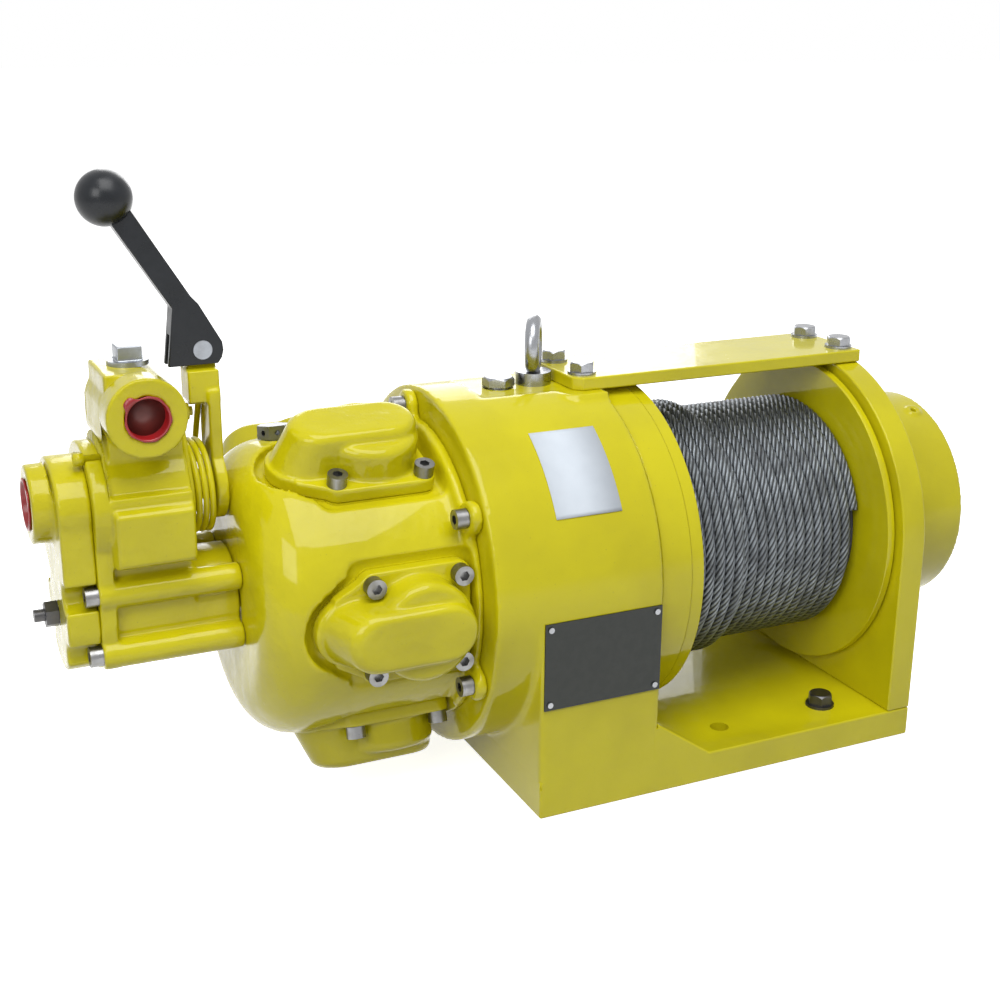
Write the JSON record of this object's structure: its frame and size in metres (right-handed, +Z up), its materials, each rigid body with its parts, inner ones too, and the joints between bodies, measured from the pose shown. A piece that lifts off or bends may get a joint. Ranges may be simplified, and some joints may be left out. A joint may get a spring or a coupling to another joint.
{
  "type": "air winch",
  "caption": "Air winch: a radial piston air motor with a spring-return throttle turns a wire rope drum in a plate frame through a disc brake and planetary gears.",
  "frame": {"origin": "centre of the pair of open hold-down holes, on the underside of the base plate", "axes": "+X along the drum axis from the motor to the outboard bearing, +Y to the back, +Z up"},
  "size_m": [0.679, 0.254, 0.4253],
  "materials": {
    "yellow_paint": "gloss",
    "zinc": "satin",
    "steel": "satin",
    "dark_steel": "matt",
    "rope": "greased wire rope",
    "bearing_steel": "polished",
    "friction": "matt",
    "gasket": "matt",
    "name_plate": "satin",
    "label": "gloss",
    "red_plastic": "gloss",
    "black_lever": "gloss"
  },
  "bodies": {
    "frame": {"base_plate": "yellow_paint", "gear_housing": "yellow_paint", "outboard_upright": "yellow_paint", "tie_bar": "yellow_paint", "tie_bar_bolts": "zinc", "hold_down_bolts": "dark_steel", "eye_bolt": "zinc", "filler_plug": "zinc", "name_plate": "name_plate", "name_plate_rivets": "zinc", "blank_label": "label", "outboard_bearing_housing": "yellow_paint", "housing_end_cover": "yellow_paint", "ring_gear": "steel", "brake_plates": "zinc", "brake_piston": "steel", "brake_disc_springs": "dark_steel", "motor_case": "yellow_paint", "cylinder_head_1": "yellow_paint", "cylinder_head_2": "yellow_paint", "cylinder_head_3": "yellow_paint", "cylinder_head_4": "yellow_paint", "cylinder_head_5": "yellow_paint", "head_gaskets": "gasket", "head_screws": "zinc", "flange_screws": "zinc", "cylinder_liners": "steel", "pistons": "steel", "connecting_rods": "steel", "crank_bearings": "bearing_steel", "breather_plug": "zinc", "valve_body": "yellow_paint", "valve_cover": "yellow_paint", "valve_screws": "zinc", "adjusting_screw": "zinc", "square_plug": "zinc", "port_caps": "red_plastic", "spring_pin": "zinc", "return_spring": "yellow_paint", "bearing_outer_races": "bearing_steel", "bearing_balls": "bearing_steel", "lock_nut": "dark_steel", "band_screw": "yellow_paint"},
    "drum": {"planet_carrier": "steel", "drum_left_flange": "yellow_paint", "drum_barrel": "yellow_paint", "drum_right_flange": "yellow_paint", "drum_shaft": "steel", "wire_rope": "rope", "bearing_inner_races": "bearing_steel"},
    "crank": {"crankshaft": "steel", "sun_shaft": "steel", "brake_friction_discs": "friction"},
    "crank_ring": {"crank_ring": "steel"},
    "planet_1": {"planet_gear_1": "steel"},
    "planet_2": {"planet_gear_2": "steel"},
    "planet_3": {"planet_gear_3": "steel"},
    "throttle": {"throttle_spindle": "yellow_paint"},
    "lever": {"hand_lever": "black_lever", "pivot_pin": "zinc"}
  },
  "joints": [
    {"name": "drum_spin", "type": "hinge", "parent": "frame", "child": "drum", "pos_m": [0, 0, 0.146], "axis": [1, 0, 0], "continuous": true},
    {"name": "crank_spin", "type": "hinge", "parent": "frame", "child": "crank", "pos_m": [-0.2, 0, 0.146], "axis": [1, 0, 0], "continuous": true},
    {"name": "crank_ring_spin", "type": "hinge", "parent": "crank", "child": "crank_ring", "pos_m": [-0.237, 0, 0.162], "axis": [1, 0, 0], "continuous": true},
    {"name": "planet_1_spin", "type": "hinge", "parent": "drum", "child": "planet_1", "pos_m": [-0.11, 0, 0.08975], "axis": [1, 0, 0], "continuous": true},
    {"name": "planet_2_spin", "type": "hinge", "parent": "drum", "child": "planet_2", "pos_m": [-0.11, 0.04871, 0.17413], "axis": [1, 0, 0], "continuous": true},
    {"name": "planet_3_spin", "type": "hinge", "parent": "drum", "child": "planet_3", "pos_m": [-0.11, -0.04871, 0.17413], "axis": [1, 0, 0], "continuous": true},
    {"name": "throttle_swing", "type": "hinge", "parent": "frame", "child": "throttle", "pos_m": [-0.345, 0, 0.224], "axis": [1, 0, 0], "range_deg": [-30, 30], "stiffness_Nm_per_rad": 3, "deforming": ["return_spring"]},
    {"name": "lever_release", "type": "hinge", "parent": "throttle", "child": "lever", "pos_m": [-0.3425, 0, 0.313], "axis": [0, 1, 0], "range_deg": [-8, 8]}
  ],
  "couplings": [
    {"joint": "crank_spin", "follows": "drum_spin", "ratio": 5},
    {"joint": "crank_ring_spin", "follows": "drum_spin", "ratio": -5},
    {"joint": "planet_1_spin", "follows": "drum_spin", "ratio": -2.6667},
    {"joint": "planet_2_spin", "follows": "drum_spin", "ratio": -2.6667},
    {"joint": "planet_3_spin", "follows": "drum_spin", "ratio": -2.6667}
  ]
}
